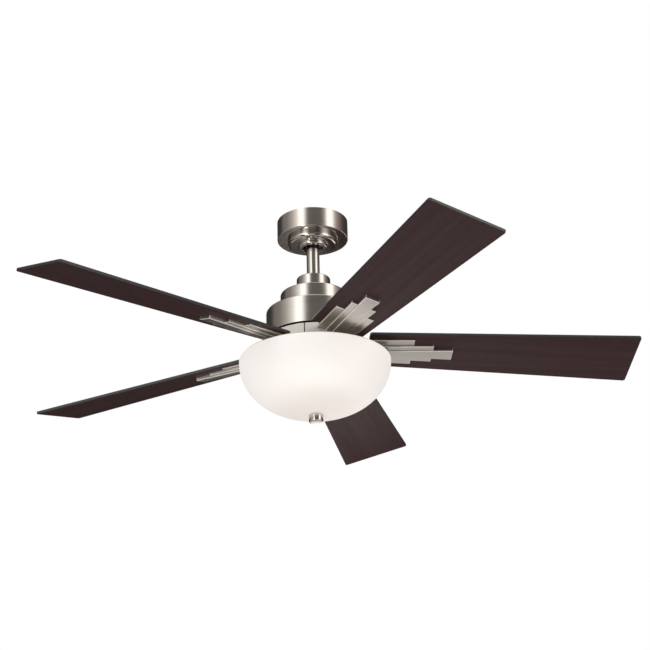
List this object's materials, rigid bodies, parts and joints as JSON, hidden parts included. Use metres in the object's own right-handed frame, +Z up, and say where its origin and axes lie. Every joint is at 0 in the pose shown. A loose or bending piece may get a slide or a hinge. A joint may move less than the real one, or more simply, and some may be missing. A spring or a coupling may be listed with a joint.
{
  "type": "ceiling fan with light",
  "caption": "Downrod ceiling fan with square-ended dark wood blades on stepped metal arms, three-tier brushed motor housing and an opal glass bowl light with finial.",
  "frame": {"origin": "centre of the ceiling plane, on the fan's vertical axis, level with the top face of the hanger bracket's plate and the canopy's rim", "axes": "+Z up into the ceiling; +X and +Y level, +X along the line of the outlet box screws"},
  "size_m": [1.2614, 1.2844, 0.4412],
  "materials": {
    "brushed_nickel": "brushed nickel plate, satin",
    "zinc_steel": "zinc plated steel, satin",
    "black_steel": "black oxide steel",
    "white_enamel": "white enamel, inside the bowl",
    "green_screw": "green earth screw",
    "nickel_screw": "nickel plated screw",
    "cast_ball": "cast hanger ball, black",
    "cast_alloy": "die-cast alloy, dull",
    "core_steel": "laminated electrical steel",
    "copper": "enamelled copper wire",
    "dark_walnut": "dark walnut veneer, satin",
    "black_rubber": "black rubber",
    "pale_felt": "pale felt",
    "black_plastic": "moulded plastic case",
    "white_porcelain": "glazed porcelain",
    "lamp_glass": "frosted lamp glass, lit",
    "opal_glass": "etched opal glass, satin"
  },
  "bodies": {
    "ceiling_mount": {"hanger_bracket": "zinc_steel", "ground_screw": "green_screw", "canopy": "brushed_nickel", "canopy_screws": "black_steel"},
    "cover": {"canopy_cover": "brushed_nickel"},
    "hanging_motor": {"hanger_ball": "cast_ball", "ball_cross_pin": "zinc_steel", "ball_set_screw": "black_steel", "downrod": "brushed_nickel", "clevis_pin": "zinc_steel", "cotter_pin": "zinc_steel", "motor_yoke": "cast_alloy", "yoke_set_screws": "black_steel", "upper_housing": "brushed_nickel", "motor_housing": "brushed_nickel", "housing_screws": "black_steel", "motor_shaft": "zinc_steel", "upper_bearing_race": "zinc_steel", "lower_bearing_race": "zinc_steel", "shaft_clip": "black_steel", "stator_core": "core_steel", "stator_winding": "copper", "switch_cup": "brushed_nickel", "capacitor": "black_plastic", "light_pan": "white_enamel", "pan_screws": "black_steel", "lamp_strap": "zinc_steel", "lamp_holder_a": "white_porcelain", "lamp_holder_b": "white_porcelain", "bulb_a": "lamp_glass", "bulb_b": "lamp_glass", "centre_rod": "zinc_steel", "rod_locknut": "zinc_steel", "rim_gasket": "pale_felt"},
    "coupling_cover": {"coupling_cover": "brushed_nickel"},
    "rotor": {"rotor_bell_upper": "cast_alloy", "rotor_bell_lower": "cast_alloy", "rotor_cage": "cast_alloy", "upper_bearing": "zinc_steel", "lower_bearing": "zinc_steel", "bell_screws": "black_steel", "flywheel": "black_steel", "blade_arm_1": "brushed_nickel", "blade_arm_2": "brushed_nickel", "blade_arm_3": "brushed_nickel", "blade_arm_4": "brushed_nickel", "blade_arm_5": "brushed_nickel", "arm_screws": "black_steel", "blade_1": "dark_walnut", "blade_2": "dark_walnut", "blade_3": "dark_walnut", "blade_4": "dark_walnut", "blade_5": "dark_walnut", "blade_washers": "black_rubber", "blade_screws": "nickel_screw"},
    "bowl": {"glass_bowl": "opal_glass", "bowl_seat_washer": "pale_felt", "bowl_washer": "black_rubber"},
    "finial": {"finial": "brushed_nickel"}
  },
  "joints": [
    {"name": "hanger_swing", "type": "hinge", "parent": "ceiling_mount", "child": "hanging_motor", "pos_m": [0, 0, -0.032], "axis": [1, 0, 0], "range_deg": [-12, 12]},
    {"name": "cover_twist", "type": "hinge", "parent": "ceiling_mount", "child": "cover", "pos_m": [0, 0, -0.041], "axis": [0, 0, 1], "range_deg": [0, 18]},
    {"name": "coupling_lift", "type": "slide", "parent": "hanging_motor", "child": "coupling_cover", "axis": [0, 0, 1], "range_m": [0, 0.055]},
    {"name": "blade_spin", "type": "hinge", "parent": "hanging_motor", "child": "rotor", "pos_m": [0, 0, -0.2791], "axis": [0, 0, 1], "continuous": true},
    {"name": "bowl_lower", "type": "slide", "parent": "hanging_motor", "child": "bowl", "axis": [0, 0, -1], "range_m": [0, 0.0047]},
    {"name": "finial_turn", "type": "hinge", "parent": "bowl", "child": "finial", "pos_m": [0, 0, -0.4313], "axis": [0, 0, -1], "range_deg": [0, 1800]}
  ],
  "couplings": [
    {"joint": "finial_turn", "follows": "bowl_lower", "rad_per_m": 6679}
  ]
}
